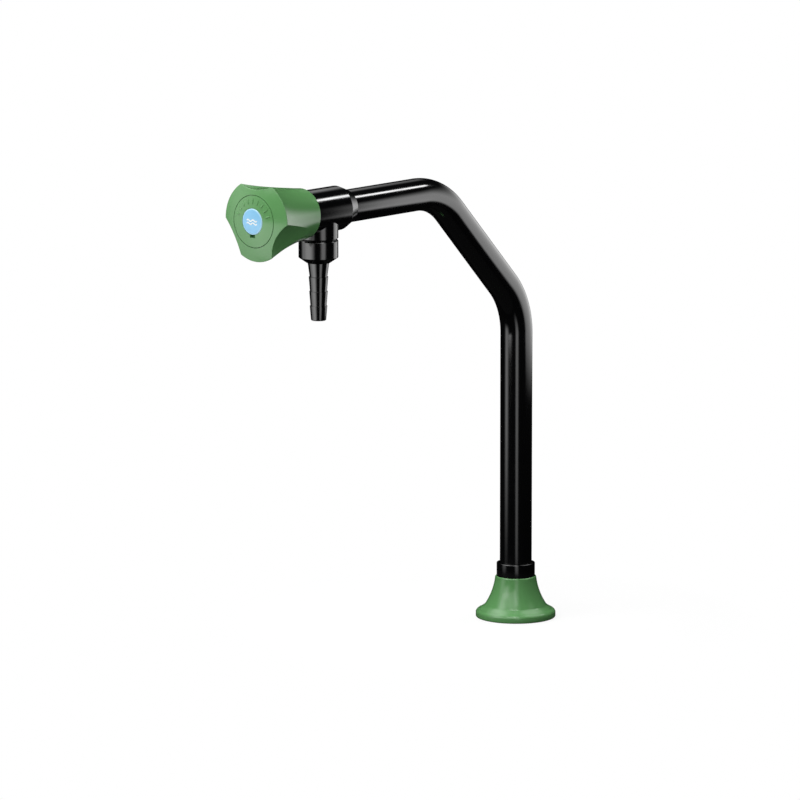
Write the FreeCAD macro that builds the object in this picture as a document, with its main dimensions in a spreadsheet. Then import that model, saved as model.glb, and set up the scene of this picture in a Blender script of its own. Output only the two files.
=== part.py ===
"""Bench-mounted laboratory water tap: a swivelling bent column on a bell flange, with a
three-lobed knob at the end of the arm and a hose nozzle under it. Millimetres.

Frame: +Z up, origin at the centre of the foot's underside, arm along -Y.
Pieces on the column are drawn about Z. Pieces on the arm are drawn about their own Z, which
points forward along the arm, and stand at the arm's height. Pieces of the outlet are drawn
about Z, and stand under the arm at the outlet's reach, measured from the arm's axis.
"""

import FreeCAD
import Part

import math
import os

import Sketcher

doc = FreeCAD.newDocument("bench_tap")
sheet = doc.addObject("Spreadsheet::Sheet", "sizes")

# Driving sizes: alias, value. Reaches are measured forward from the column's axis.
SIZES = (
    ("tube_radius", 10.0),
    ("tube_wall", 1.5),
    ("arm_height", 277.6),
    ("elbow_rise", 78.5),
    ("elbow_reach", 78.5),
    ("bend_radius", 46.0),
    ("running_gap", 0.05),
    ("seal_gap", 0.03),
    ("slip_gap", 0.1),
    ("lead_in", 0.6),
    ("cut_margin", 1.0),
    # Foot and bell flange
    ("rim_radius", 25.0),
    ("rim_edge", 0.8),
    ("rim_height", 3.2),
    ("shoulder_radius", 3.0),
    ("shoulder_inset", 2.3),
    ("shoulder_rise", 2.0),
    ("flare_foot_radius", 19.0),
    ("flare_foot_height", 8.2),
    ("flare_foot_fillet", 2.9),
    ("fillet_reach", 1.05),
    ("fillet_drop", 1.15),
    ("flare_radius", 40.3),
    ("mouth_radius", 12.9),
    ("mouth_height", 26.1),
    ("bell_wall", 2.9),
    ("bell_grip_height", 13.0),
    ("collar_radius", 12.0),
    ("collar_height", 34.6),
    ("collar_edge", 0.8),
    ("foot_disc_radius", 19.0),
    ("foot_disc_thickness", 4.0),
    ("inlet_thread_radius", 7.475),
    ("inlet_web", 2.0),
    ("water_way_radius", 6.0),
    ("socket_mouth_depth", 2.0),
    ("socket_mouth_radius", 11.0),
    ("deck_ring_radius", 13.75),
    ("deck_ring_section", 0.8),
    ("ring_side_gap", 0.2),
    ("grip_ring_drop", 6.5),
    ("grip_ring_section", 0.55),
    ("grub_drop", 3.75),
    ("grub_radius", 2.0),
    ("grub_tip_radius", 1.2),
    ("grub_socket_radius", 1.0),
    ("grub_tip_gap", 0.3),
    # Swivel tail
    ("tail_end_gap", 0.5),
    ("tail_shoulder_drop", 1.0),
    ("tail_neck_length", 10.0),
    ("tail_end_length", 2.5),
    ("tail_seal_pitch", 4.7),
    ("tail_seal_section", 0.8),
    ("groove_side_gap", 0.3),
    ("guide_ring_drop", 4.65),
    ("guide_seal_pitch", 4.5),
    ("guide_ring_width", 3.1),
    ("guide_ring_depth", 1.3),
    ("guide_ring_slit", 1.5),
    ("lock_groove_width", 2.9),
    ("lock_groove_depth", 1.4),
    # Valve body
    ("body_radius", 13.5),
    ("body_rear_reach", 162.0),
    ("body_rear_radius", 10.4),
    ("body_taper_length", 8.2),
    ("body_edge", 0.5),
    ("tube_socket_depth", 12.0),
    ("seat_wall_setback", 1.5),
    ("seat_wall_thickness", 4.0),
    ("seat_outer_radius", 6.5),
    ("seat_flange_radius", 7.5),
    ("seat_lip", 1.5),
    ("seat_bore_radius", 4.5),
    ("chamber_radius", 9.6),
    # Outlet
    ("outlet_setback", 1.7),
    ("boss_radius", 12.0),
    ("boss_drop", 17.0),
    ("boss_edge", 0.8),
    ("boss_root_radius", 0.5),
    ("boss_thread_radius", 9.0),
    ("boss_thread_length", 7.5),
    ("outlet_bore_radius", 5.2),
    ("nut_gap", 0.05),
    ("nut_length", 11.0),
    ("nut_edge", 1.0),
    ("nut_cone_length", 3.35),
    ("nozzle_radius", 6.5),
    ("nozzle_flange_radius", 8.7),
    ("nozzle_flange_thickness", 2.0),
    ("nozzle_gasket_thickness", 1.45),
    ("nozzle_bore_radius", 3.2),
    ("first_barb_length", 8.55),
    ("first_barb_end_radius", 5.33),
    ("barb_pitch", 8.85),
    ("barb_start_radius", 5.86),
    ("barb_taper", 0.7),
    ("barb_step_down", 0.28),
    ("nozzle_tip_edge", 0.4),
    # Headwork
    ("bonnet_rear_gap", 1.4),
    ("bonnet_thread_length", 11.0),
    ("bonnet_gasket_thickness", 1.0),
    ("bonnet_flange_radius", 12.7),
    ("bonnet_flange_thickness", 4.0),
    ("bonnet_neck_radius", 8.5),
    ("bonnet_neck_length", 13.0),
    ("carrier_flats", 12.0),
    ("carrier_flats_gap", 0.2),
    ("thrust_bore_radius", 6.15),
    ("thrust_bore_length", 3.0),
    ("journal_radius", 5.0),
    ("spindle_collar_radius", 5.9),
    ("spindle_collar_thickness", 1.9),
    ("thrust_washer_thickness", 0.8),
    ("spindle_seal_pitch", 5.0),
    ("spindle_seal_section", 0.7),
    ("clip_groove_depth", 0.8),
    ("clip_thickness", 0.8),
    ("clip_radius", 7.4),
    ("journal_front_length", 0.9),
    ("drive_flats", 7.0),
    ("drive_length", 12.0),
    ("knob_thread_radius", 1.65),
    ("knob_thread_depth", 11.0),
    ("spindle_thread_radius", 3.0),
    ("carrier_travel", 3.75),
    ("travel_gap", 0.4),
    # Carrier and seat washer
    ("seat_washer_radius", 6.4),
    ("seat_washer_thickness", 3.0),
    ("carrier_plate_radius", 7.0),
    ("carrier_plate_thickness", 4.0),
    ("carrier_floor", 3.8),
    ("washer_screw_radius", 1.5),
    ("washer_screw_depth", 2.4),
    ("washer_screw_head_radius", 2.8),
    ("washer_screw_head_height", 1.4),
    # Knob
    ("knob_overlap", 2.8),
    ("knob_rear_radius", 15.35),
    ("knob_rear_edge", 0.8),
    ("knob_front_radius", 24.7),
    ("knob_flare_radius", 150.0),
    ("knob_dome_radius", 78.0),
    ("knob_front_edge", 0.3),
    ("knob_lobe_edge", 0.8),
    ("flute_floor_radius", 19.3),
    ("flute_radius", 29.3),
    ("flute_rear_floor_radius", 15.5),
    ("flute_rear_radius", 38.0),
    ("knob_cavity_radius", 13.9),
    ("knob_cavity_front_radius", 15.2),
    ("hub_radius", 10.5),
    ("insert_radius", 7.5),
    ("well_radius", 6.0),
    ("cap_radius", 16.0),
    ("well_depth", 6.0),
    ("cap_edge_thickness", 2.2),
    ("cap_gap", 0.12),
    ("cap_skirt_length", 1.8),
    ("cap_skirt_wall", 1.3),
    ("disc_radius", 7.95),
    ("disc_gap", 0.08),
    ("disc_thickness", 1.35),
    ("disc_proud", 0.15),
    ("slot_width", 4.0),
    ("slot_height", 2.2),
    ("slot_depth", 2.5),
    ("tick_radius", 12.4),
    ("tick_length", 3.4),
    ("tick_width", 0.9),
    ("tick_height", 0.35),
    ("tick_spacing_angle", 18.0),
    ("knob_washer_radius", 5.0),
    ("knob_washer_thickness", 1.0),
    ("knob_screw_head_radius", 3.6),
    ("knob_screw_head_height", 2.4),
    ("knob_screw_slot_width", 1.0),
    ("knob_screw_slot_depth", 1.2),
    ("knob_screw_length", 9.0),
)
TICK_COUNT = 9

for row, (alias, number) in enumerate(SIZES, start=1):
    cell = "B{}".format(row)
    sheet.set("A{}".format(row), alias)
    sheet.set(cell, str(number))
    sheet.setAlias(cell, alias)
doc.recompute()


class Size:
    """A length or angle that knows its number and the sheet expression it comes from."""

    def __init__(self, text, number):
        self.text = text
        self.number = number

    def joined(self, sign, other, number):
        return Size("({} {} {})".format(self.text, sign, size_of(other).text), number)

    def __add__(self, other):
        return self.joined("+", other, self.number + size_of(other).number)

    def __sub__(self, other):
        return self.joined("-", other, self.number - size_of(other).number)

    def __mul__(self, other):
        return self.joined("*", other, self.number * size_of(other).number)

    def __truediv__(self, other):
        return self.joined("/", other, self.number / size_of(other).number)

    def __neg__(self):
        return Size("(0 - {})".format(self.text), -self.number)


def size_of(thing):
    return thing if isinstance(thing, Size) else Size(repr(float(thing)), float(thing))


def root(size):
    return Size("sqrt({})".format(size.text), math.sqrt(size.number))


class Sizes:
    """The sheet's rows as attributes."""


at = Sizes()
for alias, number in SIZES:
    setattr(at, alias, Size("sizes." + alias, number))


# Heights in the foot, from the collar's top down
tail_shoulder_height = at.collar_height - at.tail_shoulder_drop
grub_height = tail_shoulder_height - at.grub_drop
guide_ring_height = grub_height - at.guide_ring_drop
upper_seal_height = guide_ring_height - at.guide_seal_pitch
lower_seal_height = upper_seal_height - at.tail_seal_pitch
tail_end_height = lower_seal_height - at.tail_end_length
socket_floor_height = tail_end_height - at.tail_end_gap
inlet_thread_length = socket_floor_height - at.inlet_web
grip_ring_height = at.mouth_height - at.grip_ring_drop

# Radii shared by a bore and what runs or fits in it
tube_bore = at.tube_radius - at.tube_wall
bell_bore = at.collar_radius + at.slip_gap
socket_radius = at.tube_radius + at.running_gap
tail_seal_floor = socket_radius - at.seal_gap - at.tail_seal_section * 2
journal_bore = at.journal_radius + at.running_gap
spindle_seal_floor = journal_bore - at.seal_gap - at.spindle_seal_section * 2

# Reaches along the arm, from the body's rear to the knob's face
body_drum_reach = at.body_rear_reach + at.body_taper_length
tube_end_reach = at.body_rear_reach + at.tube_socket_depth
seat_wall_reach = tube_end_reach + at.seat_wall_setback
seat_front_reach = seat_wall_reach + at.seat_wall_thickness
seat_face_reach = seat_front_reach + at.seat_lip
outlet_reach = seat_front_reach + at.outlet_setback + at.outlet_bore_radius
bonnet_rear_reach = outlet_reach + at.outlet_bore_radius + at.bonnet_rear_gap
body_front_reach = bonnet_rear_reach + at.bonnet_thread_length
bonnet_seat_reach = body_front_reach + at.bonnet_gasket_thickness
bonnet_neck_reach = bonnet_seat_reach + at.bonnet_flange_thickness
bonnet_front_reach = bonnet_neck_reach + at.bonnet_neck_length
hex_bore_end_reach = bonnet_neck_reach - at.thrust_bore_length
collar_front_reach = bonnet_neck_reach - at.thrust_washer_thickness - at.seal_gap
collar_rear_reach = collar_front_reach - at.spindle_collar_thickness
rear_seal_reach = bonnet_neck_reach + (at.bonnet_neck_length - at.spindle_seal_pitch) / 2
front_seal_reach = rear_seal_reach + at.spindle_seal_pitch
clip_reach = bonnet_front_reach + at.groove_side_gap
journal_front_reach = clip_reach + at.clip_thickness + at.journal_front_length
drive_front_reach = journal_front_reach + at.drive_length
washer_rear_reach = seat_face_reach + at.seal_gap
plate_rear_reach = washer_rear_reach + at.seat_washer_thickness
plate_front_reach = plate_rear_reach + at.carrier_plate_thickness
carrier_bore_reach = plate_rear_reach + at.carrier_floor
carrier_front_reach = collar_rear_reach - at.carrier_travel - at.travel_gap
spindle_rear_reach = carrier_bore_reach + at.carrier_travel + at.travel_gap
knob_rear_reach = body_front_reach - at.knob_overlap
hub_front_reach = drive_front_reach + at.groove_side_gap
cap_floor_reach = hub_front_reach + at.well_depth
cap_reach = cap_floor_reach + at.cap_edge_thickness
dome_centre_reach = cap_reach - root(
    at.knob_dome_radius * at.knob_dome_radius - at.cap_radius * at.cap_radius)
dome_top_reach = dome_centre_reach + at.knob_dome_radius


def body(label, place=None):
    """A body for one piece, placed on the column, the arm or the outlet."""
    piece = doc.addObject("PartDesign::Body", label)
    piece.Label = label
    if place == "arm":
        piece.Placement = FreeCAD.Placement(
            FreeCAD.Vector(0, 0, 0), FreeCAD.Rotation(FreeCAD.Vector(1, 0, 0), 90))
        piece.setExpression("Placement.Base.z", at.arm_height.text)
    if place == "outlet":
        piece.setExpression("Placement.Base.z", at.arm_height.text)
        piece.setExpression("Placement.Base.y", (-outlet_reach).text)
    return piece


def sketch_on(piece, role, name, offset=None):
    """A sketch on one of the body's own origin planes, lifted along its normal by offset."""
    sketch = piece.newObject("Sketcher::SketchObject", piece.Label + "_" + name)
    plane = next(f for f in piece.Origin.OriginFeatures if f.Role == role)
    sketch.AttachmentSupport = (plane, "")
    sketch.MapMode = "FlatFace"
    if offset is not None:
        sketch.setExpression("AttachmentOffset.Base.z", offset.text)
    return sketch


def dimension(sketch, kind, places, size):
    """Adds one driving dimension and ties it to the sheet."""
    index = sketch.addConstraint(Sketcher.Constraint(kind, *places, size.number))
    sketch.setExpression("Constraints[{}]".format(index), size.text)


def pin_point(sketch, geometry, end, x, y):
    """Fixes a point of the sketch by its two distances from the origin."""
    for kind, size in (("DistanceX", x), ("DistanceY", y)):
        dimension(sketch, kind, (-1, 1, geometry, end), size_of(size))


def arc_centre(start, end, radius, side):
    """Centre of an arc through two points, on the left (1) or right (-1) of start to end."""
    middle = (start + end) * 0.5
    half = (end - start) * 0.5
    rise = math.sqrt(max(radius ** 2 - half.Length ** 2, 0.0))
    normal = FreeCAD.Vector(-half.y, half.x, 0).normalize()
    return middle + normal * rise * side


def outline(sketch, corners, arcs=None, closed=True):
    """Draws a closed outline, or an open path. Corners are pairs of sizes; arcs[i] = (radius,
    side) bends the edge that starts at corner i about a centre on its left (1) or right (-1)."""
    arcs = arcs or {}
    points = [FreeCAD.Vector(size_of(x).number, size_of(y).number, 0) for x, y in corners]
    starts = []
    ends = []
    for i, start in enumerate(points if closed else points[:-1]):
        end = points[(i + 1) % len(points)]
        if i in arcs:
            radius, side = arcs[i]
            centre = arc_centre(start, end, size_of(radius).number, side)
            first, last = (start, end) if side > 0 else (end, start)
            angles = [math.atan2(p.y - centre.y, p.x - centre.x) for p in (first, last)]
            circle = Part.Circle(centre, FreeCAD.Vector(0, 0, 1), size_of(radius).number)
            edge = sketch.addGeometry(Part.ArcOfCircle(circle, *angles))
            dimension(sketch, "Radius", (edge,), size_of(radius))
            starts.append((edge, 1 if side > 0 else 2))
            ends.append((edge, 2 if side > 0 else 1))
        else:
            edge = sketch.addGeometry(Part.LineSegment(start, end))
            starts.append((edge, 1))
            ends.append((edge, 2))
    for i, (x, y) in enumerate(corners):
        if i == len(starts):
            pin_point(sketch, *ends[-1], x, y)
            continue
        if closed or i:
            sketch.addConstraint(Sketcher.Constraint("Coincident", *ends[i - 1], *starts[i]))
        pin_point(sketch, *starts[i], x, y)


def turned(piece, name, corners, arcs=None, kind="Revolution", plane="XZ_Plane"):
    """A revolved solid, or a turned cut (Groove), about the piece's own Z."""
    sketch = sketch_on(piece, plane, name + "_outline")
    outline(sketch, corners, arcs)
    feature = piece.newObject("PartDesign::" + kind, piece.Label + "_" + name)
    feature.Profile = sketch
    feature.ReferenceAxis = (sketch, ["V_Axis"])
    feature.Angle = 360
    sketch.Visibility = False
    doc.recompute()
    return feature


def ring_groove(piece, name, middle, width, floor, outside):
    """A square groove round the outside of a turned piece."""
    low = middle - width / 2
    high = middle + width / 2
    clear = outside + at.cut_margin
    return turned(piece, name, [(floor, low), (clear, low), (clear, high), (floor, high)], kind="Groove")


def circle_sketch(piece, role, name, radius, x=0, y=0, offset=None):
    sketch = sketch_on(piece, role, name, offset)
    centre = FreeCAD.Vector(size_of(x).number, size_of(y).number, 0)
    circle = sketch.addGeometry(Part.Circle(centre, FreeCAD.Vector(0, 0, 1), radius.number))
    dimension(sketch, "Radius", (circle,), radius)
    pin_point(sketch, circle, 3, x, y)
    return sketch


def polygon_sketch(piece, name, flats, sides, offset):
    """A regular hexagon or square across flats, centred on the piece's Z."""
    sketch = sketch_on(piece, "XY_Plane", name, offset)
    half_turn = math.pi / sides
    corner = flats / (2 * math.cos(half_turn))
    angles = [half_turn * (2 * i + 1) for i in range(sides)]
    outline(sketch, [(corner * math.cos(angle), corner * math.sin(angle)) for angle in angles])
    return sketch


def box_sketch(piece, role, name, left, bottom, right, top, offset=None):
    sketch = sketch_on(piece, role, name, offset)
    outline(sketch, [(left, bottom), (right, bottom), (right, top), (left, top)])
    return sketch


def pad(piece, name, sketch, length, reversed_way=False):
    feature = piece.newObject("PartDesign::Pad", piece.Label + "_" + name)
    feature.Profile = sketch
    feature.setExpression("Length", length.text)
    feature.Reversed = reversed_way
    doc.recompute()
    return feature


def pocket(piece, name, sketch, length=None, reversed_way=False):
    """A pocket of the given depth, or right through both ways. It must remove material."""
    before = piece.Shape.Volume
    feature = piece.newObject("PartDesign::Pocket", piece.Label + "_" + name)
    feature.Profile = sketch
    feature.Reversed = reversed_way
    if length is None:
        feature.Type = "ThroughAll"
        feature.Midplane = True
    else:
        feature.setExpression("Length", length.text)
    doc.recompute()
    if not piece.Shape.Volume < before:
        raise ValueError(feature.Label + " cuts nothing")
    return feature


def face_name(face):
    """The kind of a face, with its radius if it is a cylinder: "cylinder 12.0"."""
    kind = face.Surface.TypeId.replace("Part::Geom", "").lower()
    return "{} {:.2f}".format(kind, face.Surface.Radius) if kind == "cylinder" else kind


def cylinder(radius):
    return "cylinder {:.2f}".format(radius.number)


def edges_between(piece, first, second):
    """Names of the edges along which faces of two kinds meet."""
    wanted = sorted([first, second])
    return ["Edge{}".format(i) for i, edge in enumerate(piece.Shape.Edges, start=1)
            if sorted(map(face_name, piece.Shape.ancestorsOfType(edge, Part.Face))) == wanted]


def dressed(piece, kind, name, places, size):
    """A Chamfer or Fillet on the named edges or faces of the body so far."""
    if not places:
        raise ValueError("nothing to dress for " + name)
    base = piece.Tip
    feature = piece.newObject("PartDesign::" + kind, piece.Label + "_" + name)
    feature.Base = (base, places)
    feature.setExpression("Size" if kind == "Chamfer" else "Radius", size.text)
    doc.recompute()
    return feature


def ring(label, mean_radius, section, middle, place=None):
    """An O-ring: a torus about the column's or the arm's axis."""
    torus = doc.addObject("Part::Torus", label)
    torus.Label = label
    torus.setExpression("Radius1", mean_radius.text)
    torus.setExpression("Radius2", section.text)
    if place == "arm":
        torus.Placement = FreeCAD.Placement(
            FreeCAD.Vector(0, 0, 0), FreeCAD.Rotation(FreeCAD.Vector(1, 0, 0), 90))
        torus.setExpression("Placement.Base.z", at.arm_height.text)
        torus.setExpression("Placement.Base.y", (-middle).text)
    else:
        torus.setExpression("Placement.Base.z", middle.text)
    return torus


def dome_reach(radius):
    """How far forward the knob's domed face stands at a radius from its axis."""
    return dome_centre_reach + root(at.knob_dome_radius * at.knob_dome_radius - radius * radius)


# Bell flange: a green plastic moulding that covers the foot, hollow inside
base_flange = body("base_flange")
lip_height = at.mouth_height - (at.mouth_radius - bell_bore)
bell_recess = at.foot_disc_radius + at.slip_gap
bell_taper = (at.flare_foot_radius - at.bell_wall - bell_bore) / 3
turned(base_flange, "shell", [
    (bell_recess, 0),
    (at.rim_radius - at.rim_edge, 0),
    (at.rim_radius, at.rim_edge),
    (at.rim_radius, at.rim_height),
    (at.rim_radius - at.shoulder_inset, at.rim_height + at.shoulder_rise),
    (at.flare_foot_radius + at.fillet_reach, at.flare_foot_height - at.fillet_drop),
    (at.flare_foot_radius, at.flare_foot_height),
    (at.mouth_radius, lip_height),
    (bell_bore, at.mouth_height),
    (bell_bore, at.bell_grip_height + bell_taper),
    (bell_bore + bell_taper, at.bell_grip_height),
    (at.flare_foot_radius - at.bell_wall, at.flare_foot_height - at.bell_wall / 2),
    (at.flare_foot_radius - at.bell_wall / 2, at.foot_disc_thickness),
    (bell_recess, at.foot_disc_thickness),
], {
    1: (at.rim_edge, 1),
    3: (at.shoulder_radius, 1),
    5: (at.flare_foot_fillet, -1),
    6: (at.flare_radius, -1),
    7: (at.mouth_radius - bell_bore, 1),
})

# Foot: a turned and black-coated brass socket, threaded below for the supply
foot_body = body("foot_body")
turned(foot_body, "socket", [
    (at.inlet_thread_radius, 0),
    (at.foot_disc_radius, 0),
    (at.foot_disc_radius, at.foot_disc_thickness),
    (at.collar_radius, at.foot_disc_thickness),
    (at.collar_radius, at.collar_height - at.collar_edge),
    (at.collar_radius - at.collar_edge, at.collar_height),
    (at.socket_mouth_radius, at.collar_height),
    (at.socket_mouth_radius, at.collar_height - at.socket_mouth_depth),
    (socket_radius, at.collar_height - at.socket_mouth_depth),
    (socket_radius, socket_floor_height),
    (at.water_way_radius, socket_floor_height),
    (at.water_way_radius, inlet_thread_length),
    (at.inlet_thread_radius, inlet_thread_length),
], {4: (at.collar_edge, 1)})
deck_inner = at.deck_ring_radius - at.deck_ring_section - at.ring_side_gap
deck_outer = at.deck_ring_radius + at.deck_ring_section + at.ring_side_gap
turned(foot_body, "deck_ring_groove", [
    (deck_inner, -at.cut_margin),
    (deck_outer, -at.cut_margin),
    (deck_outer, at.deck_ring_section * 2),
    (deck_inner, at.deck_ring_section * 2),
], kind="Groove")
ring_groove(foot_body, "grip_ring_groove", grip_ring_height, at.grip_ring_section * 2 + at.ring_side_gap,
            bell_bore - at.grip_ring_section * 2, at.collar_radius)
pocket(foot_body, "grub_hole",
       circle_sketch(foot_body, "XZ_Plane", "grub_circle", at.grub_radius, 0, grub_height),
       at.collar_radius + at.cut_margin)

foot_seal = ring("foot_seal", at.deck_ring_radius, at.deck_ring_section, at.deck_ring_section)
flange_grip_ring = ring("flange_grip_ring", bell_bore - at.grip_ring_section, at.grip_ring_section,
                        grip_ring_height)

# Grub screw at the back of the collar: its tip runs in the tail's lock groove
swivel_grub_screw = body("swivel_grub_screw")
grub_in = socket_radius + at.slip_gap
tip_in = at.tube_radius - at.lock_groove_depth + at.grub_tip_gap
pad(swivel_grub_screw, "barrel",
    circle_sketch(swivel_grub_screw, "XZ_Plane", "barrel_circle", at.grub_radius, 0, grub_height,
                  -at.collar_radius), at.collar_radius - grub_in)
pad(swivel_grub_screw, "tip",
    circle_sketch(swivel_grub_screw, "XZ_Plane", "tip_circle", at.grub_tip_radius, 0, grub_height,
                  -grub_in), grub_in - tip_in)
pocket(swivel_grub_screw, "key_socket",
       circle_sketch(swivel_grub_screw, "XZ_Plane", "key_circle", at.grub_socket_radius, 0, grub_height,
                     -at.collar_radius), at.grub_socket_radius, True)

# Swivel tail: turned brass, brazed into the tube's lower end
column_spigot = body("column_spigot")
turned(column_spigot, "tail", [
    (at.water_way_radius, tail_end_height),
    (at.tube_radius - at.lead_in, tail_end_height),
    (at.tube_radius, tail_end_height + at.lead_in),
    (at.tube_radius, tail_shoulder_height),
    (tube_bore, tail_shoulder_height),
    (tube_bore, tail_shoulder_height + at.tail_neck_length),
    (at.water_way_radius, tail_shoulder_height + at.tail_neck_length),
])
seal_groove_width = at.tail_seal_section * 2 + at.groove_side_gap * 2
ring_groove(column_spigot, "lower_seal_groove", lower_seal_height, seal_groove_width,
            tail_seal_floor, at.tube_radius)
ring_groove(column_spigot, "upper_seal_groove", upper_seal_height, seal_groove_width,
            tail_seal_floor, at.tube_radius)
ring_groove(column_spigot, "guide_groove", guide_ring_height, at.guide_ring_width + at.slip_gap,
            at.tube_radius - at.guide_ring_depth, at.tube_radius)
ring_groove(column_spigot, "lock_groove", grub_height, at.lock_groove_width,
            at.tube_radius - at.lock_groove_depth, at.tube_radius)

tail_seal_mean = tail_seal_floor + at.tail_seal_section
swivel_seal_lower = ring("swivel_seal_lower", tail_seal_mean, at.tail_seal_section,
                         lower_seal_height)
swivel_seal_upper = ring("swivel_seal_upper", tail_seal_mean, at.tail_seal_section,
                         upper_seal_height)

# Guide ring: a slit plastic ring that carries the side load in the socket
guide_ring = body("guide_ring")
guide_low = guide_ring_height - at.guide_ring_width / 2
guide_high = guide_ring_height + at.guide_ring_width / 2
turned(guide_ring, "band", [
    (at.tube_radius - at.guide_ring_depth, guide_low),
    (socket_radius - at.seal_gap, guide_low),
    (socket_radius - at.seal_gap, guide_high),
    (at.tube_radius - at.guide_ring_depth, guide_high),
])
pocket(guide_ring, "slit",
       box_sketch(guide_ring, "XZ_Plane", "slit_box", -at.guide_ring_slit / 2,
                  guide_low - at.cut_margin, at.guide_ring_slit / 2, guide_high + at.cut_margin),
       socket_radius + at.cut_margin, True)

# Column tube: one drawn tube with two bends, from the tail to the valve body
column_tube = body("column_tube")
low_corner = at.arm_height - at.elbow_rise
incline = root(at.elbow_rise * at.elbow_rise + at.elbow_reach * at.elbow_reach)
low_setback = at.bend_radius * (incline - at.elbow_rise) / at.elbow_reach
high_setback = at.bend_radius * (incline - at.elbow_reach) / at.elbow_rise
spine = sketch_on(column_tube, "YZ_Plane", "spine")
outline(spine, [
    (0, tail_shoulder_height),
    (0, low_corner - low_setback),
    (-low_setback * at.elbow_reach / incline, low_corner + low_setback * at.elbow_rise / incline),
    (high_setback * at.elbow_reach / incline - at.elbow_reach,
     at.arm_height - high_setback * at.elbow_rise / incline),
    (-at.elbow_reach - high_setback, at.arm_height),
    (-tube_end_reach, at.arm_height),
], {1: (at.bend_radius, 1), 3: (at.bend_radius, 1)}, closed=False)
section = circle_sketch(column_tube, "XY_Plane", "section", at.tube_radius, 0, 0, tail_shoulder_height)
bore_circle = section.addGeometry(
    Part.Circle(FreeCAD.Vector(0, 0, 0), FreeCAD.Vector(0, 0, 1), tube_bore.number))
section.addConstraint(Sketcher.Constraint("Coincident", bore_circle, 3, -1, 1))
dimension(section, "Radius", (bore_circle,), tube_bore)
tube_pipe = column_tube.newObject("PartDesign::AdditivePipe", "column_tube_pipe")
tube_pipe.Profile = section
tube_pipe.Spine = spine
doc.recompute()

# Valve body: a turned drum on the tube's end with the outlet boss under it
valve_body = body("valve_body", "arm")
turned(valve_body, "drum", [
    (0, at.body_rear_reach),
    (at.body_rear_radius, at.body_rear_reach),
    (at.body_radius, body_drum_reach),
    (at.body_radius, body_front_reach - at.body_edge),
    (at.body_radius - at.body_edge, body_front_reach),
    (0, body_front_reach),
])
pad(valve_body, "boss",
    circle_sketch(valve_body, "XZ_Plane", "boss_circle", at.boss_radius, 0, outlet_reach), at.boss_drop)
pad(valve_body, "boss_thread",
    circle_sketch(valve_body, "XZ_Plane", "thread_circle", at.boss_thread_radius, 0, outlet_reach),
    at.boss_drop + at.boss_thread_length)
dressed(valve_body, "Chamfer", "boss_edge",
        edges_between(valve_body, cylinder(at.boss_radius), "plane"), at.boss_edge)
dressed(valve_body, "Fillet", "boss_root",
        edges_between(valve_body, cylinder(at.boss_radius), cylinder(at.body_radius)), at.boss_root_radius)
turned(valve_body, "water_way", [
    (0, at.body_rear_reach - at.cut_margin),
    (at.tube_radius, at.body_rear_reach - at.cut_margin),
    (at.tube_radius, tube_end_reach),
    (tube_bore, tube_end_reach),
    (tube_bore, seat_wall_reach),
    (at.seat_outer_radius, seat_wall_reach),
    (at.seat_outer_radius, seat_front_reach),
    (at.chamber_radius, seat_front_reach),
    (at.chamber_radius, body_front_reach + at.cut_margin),
    (0, body_front_reach + at.cut_margin),
], kind="Groove")
pocket(valve_body, "outlet_bore",
       circle_sketch(valve_body, "XZ_Plane", "outlet_circle", at.outlet_bore_radius, 0, outlet_reach),
       at.boss_drop + at.boss_thread_length + at.cut_margin, True)

# Seat: a stainless ring pressed into the partition, with the lip that the washer closes on
valve_seat = body("valve_seat", "arm")
turned(valve_seat, "ring", [
    (at.seat_bore_radius, seat_wall_reach),
    (at.seat_outer_radius, seat_wall_reach),
    (at.seat_outer_radius, seat_front_reach),
    (at.seat_flange_radius, seat_front_reach),
    (at.seat_flange_radius - at.lead_in, seat_face_reach),
    (at.seat_bore_radius, seat_face_reach),
])

# Outlet union: nozzle flange and gasket, held up to the boss's threaded end by the nut
nut_top = -at.boss_drop - at.nut_gap
nut_bottom = nut_top - at.nut_length
cone_bottom = nut_bottom - at.nut_cone_length
boss_end = -at.boss_drop - at.boss_thread_length
flange_top = boss_end - at.nozzle_gasket_thickness
flange_bottom = flange_top - at.nozzle_flange_thickness
nozzle_gasket = body("nozzle_gasket", "outlet")
turned(nozzle_gasket, "ring", [
    (at.outlet_bore_radius, flange_top),
    (at.nozzle_flange_radius, flange_top),
    (at.nozzle_flange_radius, boss_end),
    (at.outlet_bore_radius, boss_end),
])
outlet_nut = body("outlet_nut", "outlet")
turned(outlet_nut, "nut", [
    (at.boss_thread_radius, nut_top),
    (at.boss_thread_radius, flange_bottom),
    (at.nozzle_radius + at.running_gap, flange_bottom),
    (at.nozzle_radius + at.running_gap, cone_bottom),
    (at.nozzle_radius + at.lead_in, cone_bottom),
    (at.boss_radius, nut_bottom),
    (at.boss_radius, nut_top - at.nut_edge),
    (at.boss_radius - at.nut_edge, nut_top),
])
hose_nozzle = body("hose_nozzle", "outlet")
first_barb_end = cone_bottom - at.first_barb_length
nozzle_outline = [
    (at.nozzle_bore_radius, flange_top),
    (at.nozzle_flange_radius, flange_top),
    (at.nozzle_flange_radius, flange_bottom),
    (at.nozzle_radius, flange_bottom),
    (at.nozzle_radius, cone_bottom),
    (at.first_barb_end_radius, first_barb_end),
]
for i in range(3):
    barb_top = first_barb_end - at.barb_pitch * i
    barb_radius = at.barb_start_radius - at.barb_step_down * i
    nozzle_outline.append((barb_radius, barb_top))
    nozzle_outline.append((barb_radius - at.barb_taper, barb_top - at.barb_pitch))
tip_radius, tip_drop = nozzle_outline.pop()
nozzle_outline += [
    (tip_radius, tip_drop + at.nozzle_tip_edge),
    (tip_radius - at.nozzle_tip_edge, tip_drop),
    (at.nozzle_bore_radius, tip_drop),
]
turned(hose_nozzle, "barbs", nozzle_outline)

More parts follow.
